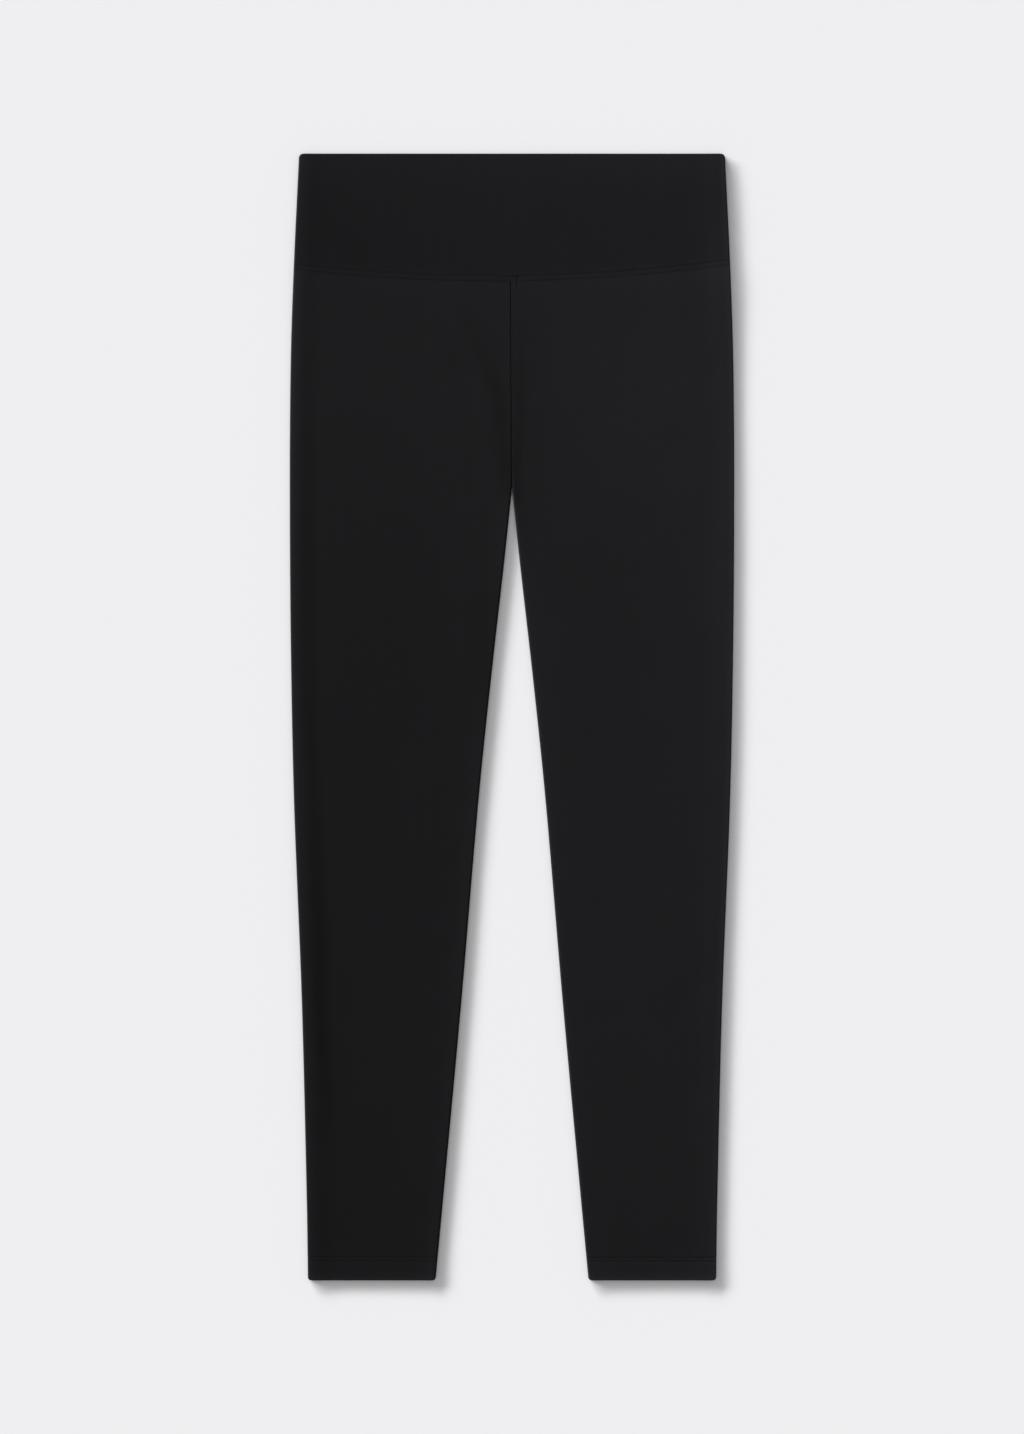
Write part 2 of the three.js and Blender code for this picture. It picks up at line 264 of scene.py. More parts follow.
def fold_out(along):
    return fold_curve(along) - corner_cut(along, WAIST_CORNER) - corner_cut(LENGTH - along, HEM_CORNER)


def centre_seam(along):
    """Where the centre seam runs, across."""
    return lerp(*CENTRE_SEAM_LEAN, min(along / CROTCH, 1))


def seam_out(side, along):
    """Where a leg's edge lies: at the centre seam above the crotch, and at the inseam below it."""
    if along < CROTCH:
        return side * centre_seam(along) + SEAM_GAP / 2
    return max(SEAM_GAP / 2, inseam_curve(along)) + corner_cut(LENGTH - along, HEM_CORNER)


def waist_seam(lateral):
    """How far the waist seam lies from the waist edge, from -1 at the right side to 1 at the left."""
    tug = swell(WAIST_SEAM_TUG, lateral * fold_curve(WAIST_SEAM_CENTRE) - centre_seam(WAIST_SEAM_CENTRE))
    return WAIST_SEAM_CENTRE - WAIST_SEAM_BOW * lateral**2 - WAIST_SEAM_TILT * lateral + tug


def turned(along):
    """How far a leg's two edges are turned towards each other: 0 above the crotch, 1 along the inseam."""
    return step(*EDGE_TURN, along)


def in_hem(along):
    return step(HEM_DEPTH + HEM_SLOPE / 2, HEM_DEPTH - HEM_SLOPE / 2, LENGTH - along)


def creases_near(across, along):
    """How deep each crease is at its nearest place, half its width, and how far away that place is."""
    x, y = across / MM, along / MM
    for half_width, places in CREASES:
        nearest = (math.inf, 0)
        for (x0, y0, depth0), (x1, y1, depth1) in zip(places, places[1:]):
            run_x, run_y = x1 - x0, y1 - y0
            share = ((x - x0) * run_x + (y - y0) * run_y) / (run_x**2 + run_y**2)
            share = min(max(share, 0), 1)
            distance = math.hypot(x - x0 - run_x * share, y - y0 - run_y * share)
            nearest = min(nearest, (distance, lerp(depth0, depth1, share)))
        yield nearest[1] * MM, half_width, nearest[0] * MM


def crease_depth(across, along):
    """How deep the creases are at a place of the front. It is below 0 on their shoulders."""
    return sum(
        swell((deepest, half_width), distance)
        - swell((SHOULDER_SHARE * deepest, SHOULDER_SPREAD * half_width), distance)
        for deepest, half_width, distance in creases_near(across, along)
    )


def crease_shade(across, along):
    """The share by which painted shade darkens the creases."""
    lost = 0
    for deepest, half_width, distance in creases_near(across, along):
        lost += swell((CREASE_SHADE * deepest, half_width), distance)
    return lost


def fold_roll(across, along):
    """How much the right leg's outer fold stands above its flat."""
    line = flank_line(along)
    return flank_height(along) * step(line + ROLL_FLANK_HALF_WIDTH, line - ROLL_FLANK_HALF_WIDTH, across)


def drift(across, along):
    """The uneven lie of cloth that was smoothed by hand."""
    place = Vector((across, along * DRIFT_SQUEEZE, 0))
    return sum(height * noise.noise(place / length) for height, length in DRIFTS)


def pucker(run, from_seam):
    """Small gathers beside a row of stitches, uneven in height along its run."""
    wave = noise.noise(Vector((run / PUCKER_LENGTH, from_seam / PUCKER_REACH, PUCKER_PATTERN)))
    return PUCKER_HEIGHT * 2 * wave * math.exp(-abs(from_seam) / PUCKER_REACH)


def notch_depth(across, along):
    """How deep the cloth dips where the centre seam's allowance ends."""
    shown = step(*NOTCH_BEGINS, along) * (1 - step(*NOTCH_ENDS, along))
    return shown * swell(NOTCH_GROOVE, across - NOTCH_ACROSS)


def edge_share(from_edge, radius):
    """How much of a wall's thickness is left at a distance from its rounded edge."""
    inward = min(max(from_edge / radius, 0), 1)
    return lerp(EDGE_WALL_SHARE, 1, math.sqrt(1 - (1 - inward) ** 2))


def leg_height(side, out, along):
    """Height of a leg's front above the floor."""
    across = side * out
    from_seam = along - waist_seam(across / fold_out(along))
    from_inseam = out - max(0, inseam_curve(along))
    ridge = 0
    if side > 0:
        flank = CENTRE_ALLOWANCE + CENTRE_ALLOWANCE_SLOPE
        ridge = CENTRE_ALLOWANCE_RIDGE * step(flank, CENTRE_ALLOWANCE, from_inseam)
    return (
        LEG_LOFT
        + swell(BELOW_SEAM_RISE, from_seam)
        + HEM_RISE * in_hem(along)
        + swell(FOLD_SWELL, fold_curve(along) - out - FOLD_SWELL_TOP)
        + fold_roll(across, along)
        + lerp(ridge, swell(INSEAM_SWELL, from_inseam), turned(along))
        - crease_depth(across, along)
        + drift(across, along)
    )


def leg_relief(side, out, along):
    """The sewn detail on either face of a leg: stitch grooves, the notch and the puckers."""
    across = side * out
    from_waist_seam = along - waist_seam(across / fold_out(along))
    from_seam = out - seam_out(side, along)
    above_edge = LENGTH - along
    grooves = sum(swell(HEM_STITCH_GROOVE, above_edge - row) for row in HEM_ROWS) + notch_depth(across, along)
    beside_waist_seam = pucker(across, from_waist_seam)
    beside_centre_seam = pucker(along, from_seam) * (1 - turned(along)) * CENTRE_PUCKER_SHARE
    beside_hem = pucker(across + HEM_PUCKER_START, above_edge - sum(HEM_ROWS) / 2)
    return beside_waist_seam + beside_centre_seam + beside_hem - grooves


def leg_along(lateral, down):
    """Rows follow the waist seam near the top, and run straight across further down."""
    dip = WAIST_SEAM_CENTRE - waist_seam(lateral)
    return LEG_TOP + down - dip * (1 - step(0, SEAM_DIP_REACH, down))


def leg_face(side, layer, from_seam, down, span):
    """A place on the outer face of a leg's front, layer 1, or back, layer -1, a distance from its seam.

    It is where the place lies, its coordinates in the flat cloth, and the wall's thickness there.
    """
    share = from_seam / span
    along = leg_along(side * share, down)
    edge_out = seam_out(side, along)
    out = edge_out + share * (fold_out(along) - edge_out)
    wall = lerp(LEG_WALL, HEM_WALL, in_hem(along))
    height = leg_height(side, out, along)
    bend = turned(along)
    roll = corner_cut(down, SEWN_EDGE) + corner_cut(LENGTH - along, wall / 2)
    roll += corner_cut(from_seam, CENTRE_EDGES[side]) * (1 - bend)
    relief = leg_relief(side, out, along)
    if layer < 0:
        relief = min(relief, 0)
    face = height + relief - roll if layer > 0 else roll - relief
    turn = math.pi / 2 * min(max(1 - from_seam / INSEAM_RADIUS, 0), 1)
    if turn > 0:
        round_out = edge_out + INSEAM_RADIUS * (1 - math.sin(turn))
        round_face = lerp(height / 2 + layer * SEAM_GAP / 2, face, math.cos(turn))
        out = lerp(out, round_out, bend)
        face = lerp(face, round_face, bend)
    cloth = (out, along) if layer > 0 else (2 * fold_out(along) - out, along)
    left = edge_share(down, SEWN_EDGE) * edge_share(LENGTH - along, wall / 2)
    left *= edge_share(from_seam, CENTRE_EDGES[side])
    return Vector((side * out, WAIST_Y - along, face)), cloth, wall * left


def leg_fold(side, degrees, down, span):
    """A place on the outer fold, degrees round the turn from the front to the back."""
    along = leg_along(side * (span - FOLD_RADIUS) / span, down)
    wall = lerp(LEG_WALL, HEM_WALL, in_hem(along))
    start = fold_out(along) - FOLD_RADIUS
    relief = leg_relief(side, start, along)
    height = leg_height(side, start, along) + relief
    turn = math.radians(degrees)
    roll = corner_cut(down, SEWN_EDGE) + corner_cut(LENGTH - along, wall / 2)
    out = start + (FOLD_RADIUS + min(relief, 0) - roll) * math.sin(turn)
    up = height / 2 + (height / 2 - roll) * math.cos(turn)
    cloth = (start + 2 * FOLD_RADIUS * turn / math.pi, along)
    left = edge_share(down, SEWN_EDGE) * edge_share(LENGTH - along, wall / 2)
    return Vector((side * out, WAIST_Y - along, up)), cloth, wall * left


def stations(start, *stretches):
    """Places from a start, each stretch given as where it ends and in how many steps."""
    places = [start]
    for end, count in stretches:
        first = places[-1]
        places += [lerp(first, end, (i + 1) / count) for i in range(count)]
    return places


# Painted sheen: how much lighter the face is drawn beside its pressed edges, a share, and how fast it fades
FOLD_PAINTED_SHEEN = {-1: (0.8, 3 * MM), 1: (1.6, 3 * MM)}
INSEAM_PAINTED_SHEEN = {-1: (0.2, 5 * MM), 1: (0.55, 8.5 * MM)}
INSEAM_PAINTED_SHEEN_STARTS = {-1: (400 * MM, 530 * MM), 1: (CROTCH, 400 * MM)}
WAIST_EDGE_PAINTED_SHEEN = [(0.2, 3 * MM), (0.14, 18 * MM)]
HEM_EDGE_PAINTED_SHEEN = (1, 3.2 * MM)
# How much lighter the doubled hem is below its rows, as a share
DOUBLED_HEM_BLOOM = 0.08

# Cloth that turns in at a seam or is drawn down by thread lies in its own shade, painted into its colour
CENTRE_SEAM_SHADE = (-0.3, 1.1 * MM)
WAIST_SEAM_SHADE = (-0.1, 1.1 * MM)
STITCH_SHADE = (-0.19, 0.8 * MM)
NOTCH_SHADE = 1.2 / MM

# Patches of nap tone and of painted light and shade: across, along, half width, half length, and the share
NAP_AND_PAINTED_LIGHT_PATCHES = [
    (-100 * MM, 400 * MM, 90 * MM, 200 * MM, -0.15),
    (-70 * MM, 620 * MM, 40 * MM, 130 * MM, -0.035),
    (-22 * MM, 425 * MM, 13 * MM, 80 * MM, -0.16),
    (-10 * MM, 155 * MM, 50 * MM, 50 * MM, -0.04),
    (-148 * MM, 700 * MM, 25 * MM, 90 * MM, -0.06),
    (-180 * MM, 150 * MM, 7 * MM, 100 * MM, 0.08),
    (-130 * MM, 68 * MM, 45 * MM, 40 * MM, -0.05),
    (-100 * MM, 14 * MM, 70 * MM, 18 * MM, -0.05),
    (100 * MM, 12 * MM, 60 * MM, 14 * MM, 0.05),
    (110 * MM, 104 * MM, 70 * MM, 7 * MM, 0.05),
    (15 * MM, 165 * MM, 14 * MM, 60 * MM, -0.04),
    (45 * MM, 165 * MM, 30 * MM, 45 * MM, 0.05),
    (90 * MM, 410 * MM, 70 * MM, 140 * MM, -0.045),
    (135 * MM, 220 * MM, 70 * MM, 110 * MM, 0.05),
    (183 * MM, 190 * MM, 6 * MM, 50 * MM, -0.06),
    (172 * MM, 380 * MM, 12 * MM, 70 * MM, 0.06),
    (172 * MM, 80 * MM, 14 * MM, 35 * MM, 0.19),
    (85 * MM, 720 * MM, 40 * MM, 170 * MM, 0.05),
    (-15 * MM, 225 * MM, 13 * MM, 70 * MM, -0.07),
    (14 * MM, 215 * MM, 12 * MM, 70 * MM, -0.05),
    (60 * MM, 330 * MM, 70 * MM, 70 * MM, -0.03),
]


def fade(painted_sheen, distance):
    """A share of painted sheen that is whole at an edge and falls away with the distance from it."""
    share, reach = painted_sheen
    return share * math.exp(-max(distance, 0) / reach)


def tone_and_painted_light(place):
    """How much lighter or darker than its dye a place is drawn, as a share: painted sheen and shade, and nap.
    """
    across = place.x
    along = WAIST_Y - place.y
    out = abs(across)
    side = math.copysign(1, across)
    from_hem = LENGTH - along
    above_seam = waist_seam(across / fold_out(along)) - along
    # Painted sheen along the folds, the waist edge, the hem's edge and the inseams
    light = fade(FOLD_PAINTED_SHEEN[side], fold_curve(along) - out)
    light += sum(fade(edge, along) for edge in WAIST_EDGE_PAINTED_SHEEN)
    light += fade(HEM_EDGE_PAINTED_SHEEN, from_hem) + DOUBLED_HEM_BLOOM * step(HEM_ROWS[1], HEM_ROWS[0], from_hem)
    inseam_painted_sheen = fade(INSEAM_PAINTED_SHEEN[side], out - inseam_curve(along))
    light += inseam_painted_sheen * step(*INSEAM_PAINTED_SHEEN_STARTS[side], along)
    # Patches of nap tone and of painted light and shade
    for middle_across, middle_along, half_width, half_length, share in NAP_AND_PAINTED_LIGHT_PATCHES:
        distance = math.hypot((across - middle_across) / half_width, (along - middle_along) / half_length)
        light += swell((share, 1), distance)
    # Painted shade at the hem's stitching, along the waist seam and beside the centre seam
    light += sum(swell(STITCH_SHADE, from_hem - row) for row in HEM_ROWS)
    light += swell(WAIST_SEAM_SHADE, above_seam)
    if above_seam < 0:
        light += swell(CENTRE_SEAM_SHADE, across - centre_seam(along)) * (1 - turned(along))
    # Painted shade in the notch and the creases, on the front only
    on_front = step(0, LEG_LOFT / 2, place.z)
    return light - (NOTCH_SHADE * notch_depth(across, along) + crease_shade(across, along)) * on_front


def cloth_panel(name, rows, material, mirrored):
    """A wall of cloth: a grid whose corners are moved to their places, and which is thickened inwards."""
    column_count, row_count = len(rows[0]), len(rows)
    grid = bmesh.new()
    bmesh.ops.create_grid(grid, x_segments=column_count - 1, y_segments=row_count - 1, size=1)
    coordinates = {}
    thicknesses = {}
    for vertex in grid.verts:
        column = round((vertex.co.x + 1) / 2 * (column_count - 1))
        row = round((1 - vertex.co.y) / 2 * (row_count - 1))
        vertex.co, coordinates[vertex.index], thicknesses[vertex.index] = rows[row][column]
    layer = grid.loops.layers.uv.new("cloth")
    for face in grid.faces:
        face.smooth = True
        for loop in face.loops:
            loop[layer].uv = coordinates[loop.vert.index]
    if mirrored:
        bmesh.ops.reverse_faces(grid, faces=grid.faces)
    # Each corner keeps its painted sheen and shade, with its nap patches, for the material
    shades = grid.verts.layers.float.new("tone_and_painted_light")
    for vertex in grid.verts:
        vertex[shades] = tone_and_painted_light(vertex.co)
    mesh = bpy.data.meshes.new(name)
    grid.to_mesh(mesh)
    grid.free()
    mesh.materials.append(material)
    piece = bpy.data.objects.new(name, mesh)
    bpy.context.scene.collection.objects.link(piece)
    thickest = max(thicknesses.values())
    group = piece.vertex_groups.new(name="thickness")
    for index, thickness in thicknesses.items():
        group.add([index], thickness / thickest, "REPLACE")
    wall = piece.modifiers.new("wall", "SOLIDIFY")
    wall.thickness = thickest
    wall.offset = -1
    wall.vertex_group = group.name
    return piece


def maths(tree, operation, *values):
    """The result of a maths node, from sockets or numbers."""
    node = tree.nodes.new("ShaderNodeMath")
    node.operation = operation
    for socket, value in zip(node.inputs, values):
        if isinstance(value, bpy.types.NodeSocket):
            tree.links.new(value, socket)
        else:
            socket.default_value = value
    return node.outputs[0]


WALE = 0.55 * MM
COURSE = 0.42 * MM
KNIT_RELIEF = 0.09 * MM
KNIT_BUMP = 0.6
YARN_SHARE = 0.6  # how much lower a loop is at the sides of its yarn
LOOP_FLATNESS = 2.5
LOOP_SHADE = (0.3, 0.8)  # painted shade: how much lighter the loops are, and how light the gaps between them
FUZZ = (2600, 2, 0.45)  # scale, detail, share
MOTTLES = ((28, 3, 0.6), (240, 2, 0.4))  # scale, detail, share
MOTTLE_TONE = (0.4, 0.8)  # how much the tone varies, and from what
MOTTLE_ROUGHNESS = (0.2, 0.72)


def jersey_group():
    """Fine jersey: columns of interlocked V shaped loops, with a brushed, slightly mottled face."""
    tree = bpy.data.node_groups.new("jersey", "ShaderNodeTree")
    tree.interface.new_socket("Cloth", in_out="INPUT", socket_type="NodeSocketVector")
    for name in ("Wale", "Course"):
        tree.interface.new_socket(name, in_out="INPUT", socket_type="NodeSocketFloat")
    for name in ("Height", "Shade", "Mottle"):
        tree.interface.new_socket(name, in_out="OUTPUT", socket_type="NodeSocketFloat")
    given = tree.nodes.new("NodeGroupInput")
    made = tree.nodes.new("NodeGroupOutput")
    split = tree.nodes.new("ShaderNodeSeparateXYZ")
    tree.links.new(given.outputs["Cloth"], split.inputs[0])
    wale = maths(tree, "DIVIDE", split.outputs["X"], given.outputs["Wale"])
    from_middle = maths(tree, "PINGPONG", maths(tree, "ADD", wale, 0.5), 0.5)
    course = maths(tree, "DIVIDE", split.outputs["Y"], given.outputs["Course"])
    slant = maths(tree, "ADD", course, from_middle)
    across_yarn = maths(tree, "MULTIPLY", maths(tree, "PINGPONG", slant, 0.5), 2)
    yarn = maths(tree, "SUBTRACT", 1, maths(tree, "POWER", across_yarn, 2))
    across_leg = maths(tree, "SUBTRACT", maths(tree, "MULTIPLY", from_middle, 4), 1)
    leg = maths(tree, "SUBTRACT", 1, maths(tree, "POWER", maths(tree, "ABSOLUTE", across_leg), LOOP_FLATNESS))
    loop = maths(tree, "MULTIPLY", maths(tree, "MULTIPLY_ADD", yarn, YARN_SHARE, 1 - YARN_SHARE), leg)

    def cloth_noise(scale, detail, share):
        texture = tree.nodes.new("ShaderNodeTexNoise")
        texture.inputs["Scale"].default_value = scale
        texture.inputs["Detail"].default_value = detail
        tree.links.new(given.outputs["Cloth"], texture.inputs["Vector"])
        return maths(tree, "MULTIPLY", texture.outputs["Fac"], share)

    tree.links.new(maths(tree, "ADD", cloth_noise(*FUZZ), loop), made.inputs["Height"])
    tree.links.new(maths(tree, "MULTIPLY_ADD", loop, *LOOP_SHADE), made.inputs["Shade"])
    tree.links.new(maths(tree, "ADD", *(cloth_noise(*mottle) for mottle in MOTTLES)), made.inputs["Mottle"])
    return tree


jersey = jersey_group()

PAINTED_LIGHT_ACROSS = 0.9  # painted light: how much brighter the face is drawn, a metre, to the wearer's left
PAINTED_LIGHT_UP = 0.45  # and towards the waist
KNIT_FINISH = {
    "Specular IOR Level": 0.06,
    "Sheen Weight": 0.12,
    "Sheen Roughness": 0.45,
    "Sheen Tint": (0.62, 0.6, 0.64, 1),
}


def finished(name, finish):
    """A new material with constant values on its shader's sockets."""
    material = bpy.data.materials.new(name)
    material.use_nodes = True
    shader = material.node_tree.nodes["Principled BSDF"]
    for socket, value in finish.items():
        shader.inputs[socket].default_value = value
    return material


def knit_material(name, colour):
    """Matt black jersey of one dye with the soft sheen of brushed microfibre, and painted light and shade."""
    material = finished(name, KNIT_FINISH)
    tree = material.node_tree
    shader = tree.nodes["Principled BSDF"]
    cloth = tree.nodes.new("ShaderNodeUVMap")
    cloth.uv_map = "cloth"
    knit = tree.nodes.new("ShaderNodeGroup")
    knit.node_tree = jersey
    knit.inputs["Wale"].default_value = WALE
    knit.inputs["Course"].default_value = COURSE
    tree.links.new(cloth.outputs["UV"], knit.inputs["Cloth"])
    place = tree.nodes.new("ShaderNodeTexCoord")
    split = tree.nodes.new("ShaderNodeSeparateXYZ")
    tree.links.new(place.outputs["Object"], split.inputs[0])
    # Painted light: the dye is drawn brighter to the wearer's left and towards the waist
    painted_light_factor = maths(tree, "MULTIPLY_ADD", split.outputs["X"], PAINTED_LIGHT_ACROSS, 1)
    painted_light_factor = maths(tree, "MULTIPLY_ADD", split.outputs["Y"], PAINTED_LIGHT_UP, painted_light_factor)
    mottle = maths(tree, "MULTIPLY_ADD", knit.outputs["Mottle"], *MOTTLE_TONE)
    # Each corner's painted sheen and shade, with its nap patches, lightens or darkens the dye further
    edge = tree.nodes.new("ShaderNodeAttribute")
    edge.attribute_name = "tone_and_painted_light"
    painted_light_factor = maths(tree, "MULTIPLY", painted_light_factor, maths(tree, "ADD", edge.outputs["Fac"], 1))
    tone = maths(tree, "MULTIPLY", maths(tree, "MULTIPLY", knit.outputs["Shade"], mottle), painted_light_factor)
    dye = tree.nodes.new("ShaderNodeVectorMath")
    dye.operation = "SCALE"
    dye.inputs[0].default_value = colour
    tree.links.new(tone, dye.inputs["Scale"])
    tree.links.new(dye.outputs["Vector"], shader.inputs["Base Color"])
    roughness = maths(tree, "MULTIPLY_ADD", knit.outputs["Mottle"], *MOTTLE_ROUGHNESS)
    tree.links.new(roughness, shader.inputs["Roughness"])
    bump = tree.nodes.new("ShaderNodeBump")
    bump.inputs["Distance"].default_value = KNIT_RELIEF
    bump.inputs["Strength"].default_value = KNIT_BUMP
    tree.links.new(knit.outputs["Height"], bump.inputs["Height"])
    tree.links.new(bump.outputs["Normal"], shader.inputs["Normal"])
    return material


LEG_COLOUR = (0.0079, 0.0074, 0.0085)

# Columns of a leg's mesh, as distances from its seam or its fold, and its rows, as distances below the waist
# seam. They are closest at the seams, the folds and the hem's two rows of stitches.
beside_seam = stations(0, (0.5 * MM, 4), (3 * MM, 7), (8 * MM, 14), (30 * MM, 13))
beside_fold = stations(45 * MM, (20 * MM, 10), (FOLD_RADIUS, 9))
back_beside_seam = stations(0, (0.5 * MM, 3), (3 * MM, 5), (30 * MM, 5))
back_beside_fold = stations(45 * MM, (FOLD_RADIUS, 6))
FRONT_BETWEEN = 84
BACK_BETWEEN = 14
FOLD_DEGREES = range(15, 180, 15)
hem_edge = LENGTH - LEG_TOP
downs_below_seam = [(0.5 * MM, 3), (3 * MM, 5), (10 * MM, 6), (60 * MM, 20), (150 * MM, 30), (200 * MM, 25)]
ups_from_hem = [(30 * MM, 118), (22 * MM, 5), (16 * MM, 16), (4 * MM, 8), (0.8 * MM, 4), (0, 5)]
leg_downs = stations(0, *downs_below_seam, *((hem_edge - up, count) for up, count in ups_from_hem))


def between(near_seam, count, near_fold, span):
    """Stations across a leg: kept distances near the seam and the fold, and even ones between them."""
    far = [span - distance for distance in near_fold]
    middle = [lerp(near_seam[-1], far[0], (i + 1) / (count + 1)) for i in range(count)]
    return near_seam + middle + far


def leg_rows(side):
    rows = []
    for down in leg_downs:
        span = fold_out(LEG_TOP + down) - seam_out(side, LEG_TOP + down)
        front = between(beside_seam, FRONT_BETWEEN, beside_fold, span)
        back = between(back_beside_seam, BACK_BETWEEN, back_beside_fold, span)
        row = [leg_face(side, 1, from_seam, down, span) for from_seam in front]
        row += [leg_fold(side, degrees, down, span) for degrees in FOLD_DEGREES]
        row += [leg_face(side, -1, from_seam, down, span) for from_seam in reversed(back)]
        rows.append(row)
    return rows


legs = {}
leg_jersey = knit_material("leg_jersey", LEG_COLOUR)
for name, side in (("leg_right", -1), ("leg_left", 1)):
    leg = cloth_panel(f"{name}_cloth", leg_rows(side), leg_jersey, side < 0)
    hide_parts(name)
    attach(leg, "root")
    legs[side] = leg

# Waistband
# A deep band of the same jersey, in a front and a back panel sewn together at the sides. Each is folded
# double at the waist edge, and its lower edge covers the legs' seam allowance, which is turned up and
# stitched down.
BAND_WALL = 1.6 * MM
BAND_LOFT = 3.75 * MM
WAIST_EDGE_DROP = (0.4 * MM, 17 * MM)
BAND_FOLD_SWELL = (0.4 * MM, 10 * MM)
WAIST_ALLOWANCE = 4.8 * MM
WAIST_ALLOWANCE_SLOPE = 4 * MM
WAIST_ALLOWANCE_RIDGE = 0.08 * MM
WAIST_SEAM_CUSHION = (0.17 * MM, 2.6 * MM)  # the band's lower edge bulges below the topstitching
CUSHION_TOP = 0.3 * MM  # above the waist seam
TOPSTITCH_ROW = 4.7 * MM  # above the waist seam
TOPSTITCH_GROOVE = (0.08 * MM, 0.8 * MM)
TOPSTITCH_PUCKER_START = 1
BAND_COLOUR = (0.0059, 0.0058, 0.0068)


def band_height(across, along):
    above_seam = waist_seam(across / fold_out(along)) - along
    return (
        BAND_LOFT
        - swell(WAIST_EDGE_DROP, along)
        + swell(BAND_FOLD_SWELL, fold_curve(along) - abs(across) - FOLD_SWELL_TOP)
        + WAIST_ALLOWANCE_RIDGE * step(WAIST_ALLOWANCE + WAIST_ALLOWANCE_SLOPE, WAIST_ALLOWANCE, above_seam)
        + swell(WAIST_SEAM_CUSHION, above_seam - CUSHION_TOP)
        - crease_depth(across, along)
        + drift(across, along)
    )


def band_relief(across, along):
    above_seam = waist_seam(across / fold_out(along)) - along
    above_row = above_seam - TOPSTITCH_ROW
    grooves = swell(TOPSTITCH_GROOVE, above_row) + notch_depth(across, along)
    return pucker(across + TOPSTITCH_PUCKER_START, above_row) - grooves


def band_face(layer, lateral, share, along):
    """A place on a waistband panel's outer face, turned at its side by a share of the way to the seam."""
    across = lateral * fold_out(along)
    side = math.copysign(1, across)
    from_seam = waist_seam(lateral) - SEAM_GAP / 2 - along
    height = band_height(across, along)
    relief = band_relief(across, along) * (1 - share)
    if layer < 0:
        relief = min(relief, 0)
    roll = corner_cut(along, BAND_WALL / 2) + corner_cut(from_seam, SEWN_EDGE)
    reach = height / 2 + relief - roll
    turn = share * math.acos(SEAM_GAP / 2 / reach)
    out = across + side * (FOLD_RADIUS - roll) * math.sin(turn)
    from_side_seam = (1 - share) * FOLD_RADIUS * math.pi / 2 if share else SEWN_EDGE
    left = edge_share(along, BAND_WALL / 2) * edge_share(from_seam, SEWN_EDGE)
    left *= edge_share(from_side_seam, SEWN_EDGE)
    place = Vector((out, WAIST_Y - along, height / 2 + layer * reach * math.cos(turn)))
    return place, (across + side * FOLD_RADIUS * turn, along), BAND_WALL * left


BAND_NEAR_EDGE = 10 * MM
waist_downs = stations(0, (0.9 * MM, 6), (3.4 * MM, 4), (BAND_NEAR_EDGE, 4))
seam_ups = stations(18 * MM, (7 * MM, 7), (3 * MM, 16), (0.9 * MM, 6), (0, 8))
BAND_BETWEEN = 34
BAND_FRONT_COLUMNS = 270
BAND_BACK_COLUMNS = 120
BAND_TURN_COLUMNS = 6
NOTCH_COLUMNS = stations(-1.3 * MM, (1.3 * MM, 8))


def band_alongs(lateral):
    """Rows of the waistband: kept distances from the waist edge and the waist seam, and even ones between."""
    seam = waist_seam(lateral) - SEAM_GAP / 2
    last = seam - seam_ups[0]
    middle = [lerp(waist_downs[-1], last, (i + 1) / (BAND_BETWEEN + 1)) for i in range(BAND_BETWEEN)]
    return waist_downs + middle + [seam - up for up in seam_ups]


def band_rows(layer, flat_count):
    """The rows of a panel's mesh, with extra columns across the notch and a turn at each side."""
    seam_half_width = fold_out(WAIST_SEAM_CENTRE)
    flat_share = 1 - FOLD_RADIUS / seam_half_width
    laterals = [lerp(-flat_share, flat_share, i / flat_count) for i in range(flat_count + 1)]
    laterals += [(NOTCH_ACROSS + offset) / seam_half_width for offset in NOTCH_COLUMNS]
    laterals.sort()
    turns = [(i + 1) / BAND_TURN_COLUMNS for i in range(BAND_TURN_COLUMNS)]
    columns = [(laterals[0], share) for share in reversed(turns)]
    columns += [(lateral, 0) for lateral in laterals]
    columns += [(laterals[-1], share) for share in turns]
    faces = [
        [band_face(layer, lateral, share, along) for along in band_alongs(lateral)]
        for lateral, share in columns
    ]
    return [list(row) for row in zip(*faces)]


band_jersey = knit_material("band_jersey", BAND_COLOUR)
band_front = cloth_panel("waistband_front_cloth", band_rows(1, BAND_FRONT_COLUMNS), band_jersey, False)
band_back = cloth_panel("waistband_back_cloth", band_rows(-1, BAND_BACK_COLUMNS), band_jersey, True)
for band, node in ((band_front, "waistband_front"), (band_back, "waistband_back")):
    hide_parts(node)
    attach(band, "root")

# Stitching
# Black polyester thread. One row all round holds up the legs' allowance inside the waistband, and a twin
# needle sews down each turned-up hem with two rows.
STITCH_PITCH = 2.9 * MM
STITCH_LENGTH = 2.5 * MM
THREAD_RADIUS = 0.18 * MM
THREAD_FINISH = {
    "Base Color": (0.0052, 0.005, 0.0056, 1),
    "Roughness": 0.5,
    "Specular IOR Level": 0.1,
}

thread = finished("thread", THREAD_FINISH)


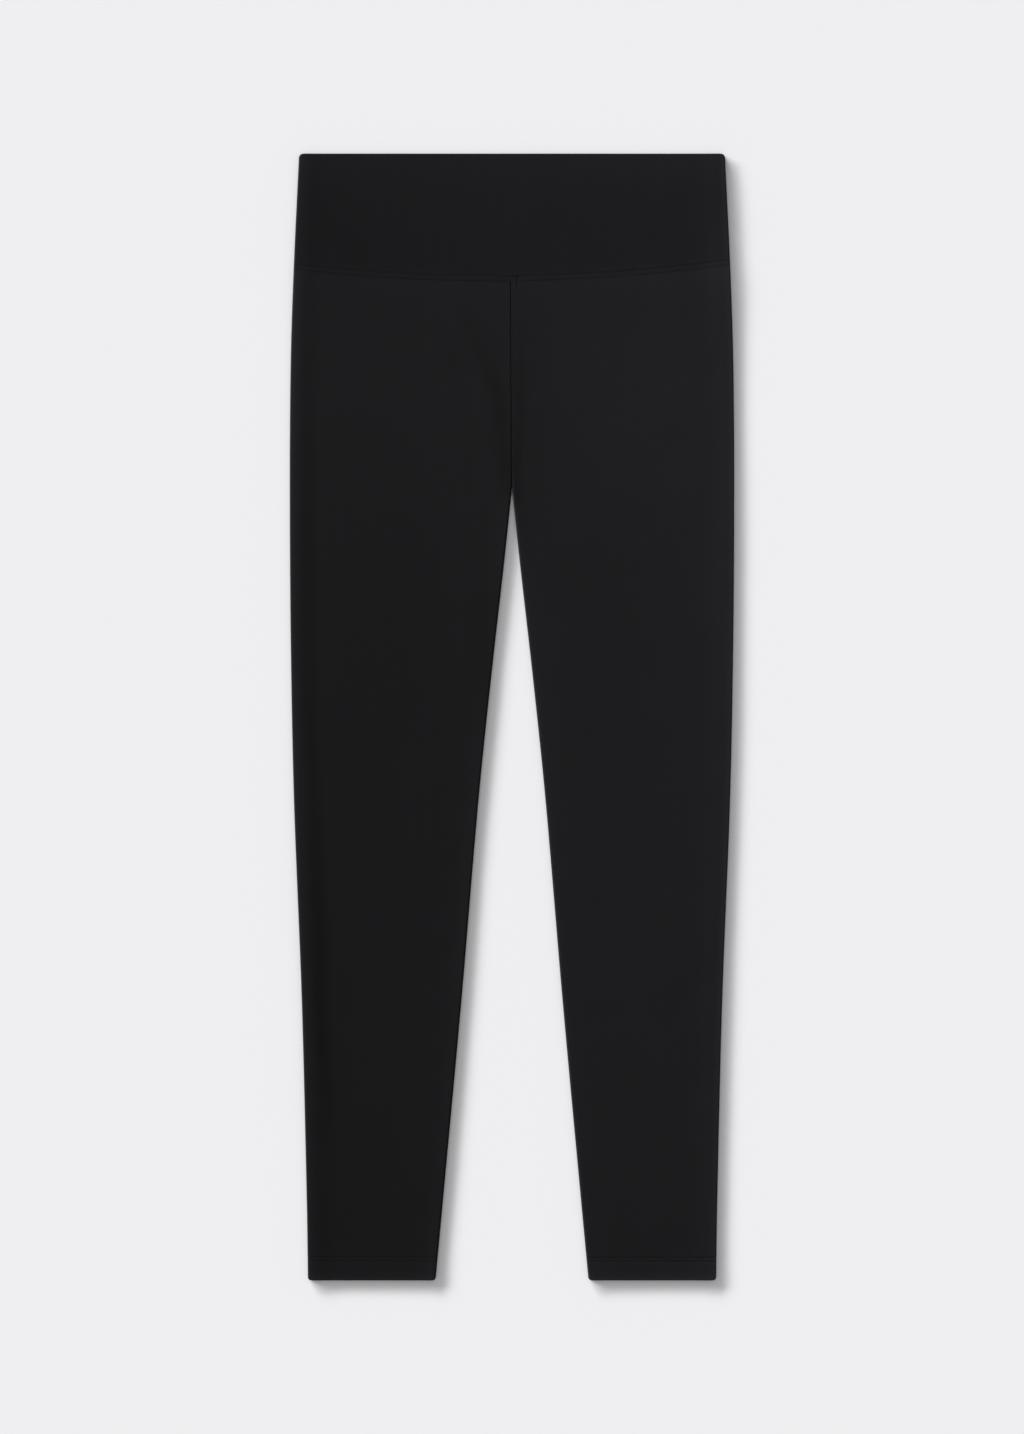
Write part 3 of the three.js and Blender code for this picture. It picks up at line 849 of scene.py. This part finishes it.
def stitches(name, place, length):
    """A row of stitches along a path, given as a function of the distance from its start."""
    row = bmesh.new()
    count = int(length / STITCH_PITCH)
    for i in range(count):
        middle = (i + 0.5) / count * length
        start, end = place(middle - STITCH_LENGTH / 2), place(middle + STITCH_LENGTH / 2)
        turn = (end - start).to_track_quat("X", "Z").to_matrix().to_4x4()
        size = Matrix.Diagonal((STITCH_LENGTH / 2, THREAD_RADIUS, THREAD_RADIUS, 1))
        centre = (start + end) / 2
        centre.z = max(centre.z, THREAD_RADIUS)  # the garment's weight presses it into the cloth underneath
        placed = Matrix.Translation(centre) @ turn @ size
        bmesh.ops.create_uvsphere(row, u_segments=8, v_segments=6, radius=1, matrix=placed)
    for face in row.faces:
        face.smooth = True
    mesh = bpy.data.meshes.new(name)
    row.to_mesh(mesh)
    row.free()
    mesh.materials.append(thread)
    piece = bpy.data.objects.new(name, mesh)
    bpy.context.scene.collection.objects.link(piece)
    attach(piece, "root")
    return name


def waist_row(layer):
    """The path of the row above the waist seam, from the right side to the left."""
    reach = fold_out(WAIST_SEAM_CENTRE) - FOLD_RADIUS

    def place(run):
        lateral = (run - reach) / fold_out(WAIST_SEAM_CENTRE)
        return band_face(layer, lateral, 0, waist_seam(lateral) - TOPSTITCH_ROW)[0]

    return place, 2 * reach


def hem_row(side, above_edge):
    """The path of a row round a hem, from the inseam over the front and the fold to the back."""
    along = LENGTH - above_edge
    down = along - LEG_TOP
    span = fold_out(along) - seam_out(side, along)
    flat = span - FOLD_RADIUS
    arc = math.pi * FOLD_RADIUS

    def place(run):
        if run < flat:
            return leg_face(side, 1, run, down, span)[0]
        if run < flat + arc:
            return leg_fold(side, math.degrees((run - flat) / FOLD_RADIUS), down, span)[0]
        return leg_face(side, -1, 2 * flat + arc - run, down, span)[0]

    return place, 2 * flat + arc


waist_rows = {
    layer: stitches(f"{name}_stitching", *waist_row(layer))
    for layer, name in ((1, "waistband_front"), (-1, "waistband_back"))
}
hem_rows = {-1: [], 1: []}
for side, name in ((-1, "hem_right"), (1, "hem_left")):
    for row, above_edge in enumerate(HEM_ROWS, 1):
        hem_rows[side].append(stitches(f"{name}_stitching_{row}", *hem_row(side, above_edge)))
for side, leg in legs.items():
    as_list(hem_rows[side])

# Floor and light
# A pale seamless floor, a long low strip of soft light from the upper left of the picture, made of lamps
# side by side, and even light from all round.
FLOOR_RADIUS = 30
FLOOR_FINISH = {
    "Base Color": (0.85, 0.85, 0.866, 1),
    "Roughness": 0.9,
    "Specular IOR Level": 0,
}
ROOM_LIGHT = 0.45
STRIP_LAMPS = 5
STRIP_STRENGTH = 8.7
LAMP_ANGLE = 8.8
LAMP_SPACING = 10
STRIP_AZIMUTH = 135
STRIP_ELEVATION = 11.7

floor_mesh = bmesh.new()
bmesh.ops.create_circle(floor_mesh, cap_ends=True, segments=64, radius=FLOOR_RADIUS)
floor_data = bpy.data.meshes.new("floor")
floor_mesh.to_mesh(floor_data)
floor_mesh.free()
floor = bpy.data.objects.new("floor", floor_data)
bpy.context.scene.collection.objects.link(floor)
floor_data.materials.append(finished("floor_paint", FLOOR_FINISH))
floor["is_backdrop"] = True


def strip_lamp(name, azimuth):
    """One far, soft lamp of the strip, whose azimuth is counted from +X towards +Y."""
    lamp = bpy.data.objects.new(name, bpy.data.lights.new(name, "SUN"))
    lamp.data.energy = STRIP_STRENGTH / STRIP_LAMPS
    lamp.data.angle = math.radians(LAMP_ANGLE)
    turn = math.radians(azimuth)
    rise = math.radians(STRIP_ELEVATION)
    towards = Vector((math.cos(turn) * math.cos(rise), math.sin(turn) * math.cos(rise), math.sin(rise)))
    lamp.rotation_euler = towards.to_track_quat("Z", "Y").to_euler()
    bpy.context.scene.collection.objects.link(lamp)


for i in range(STRIP_LAMPS):
    strip_lamp(f"strip_lamp_{i + 1}", STRIP_AZIMUTH + (i - (STRIP_LAMPS - 1) / 2) * LAMP_SPACING)

world = bpy.data.worlds.new("studio")
bpy.context.scene.world = world
world.use_nodes = True
room = world.node_tree.nodes["Background"]
room.inputs["Color"].default_value = (1, 1, 1, 1)
room.inputs["Strength"].default_value = ROOM_LIGHT
bpy.context.scene.view_settings.view_transform = "Standard"

# Size
# The box of the solids and the box of the finished leggings.
boxes = {"cad": cad_bounds, "visual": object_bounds()}
{key: [list(corner) for corner in box] for key, box in boxes.items()}
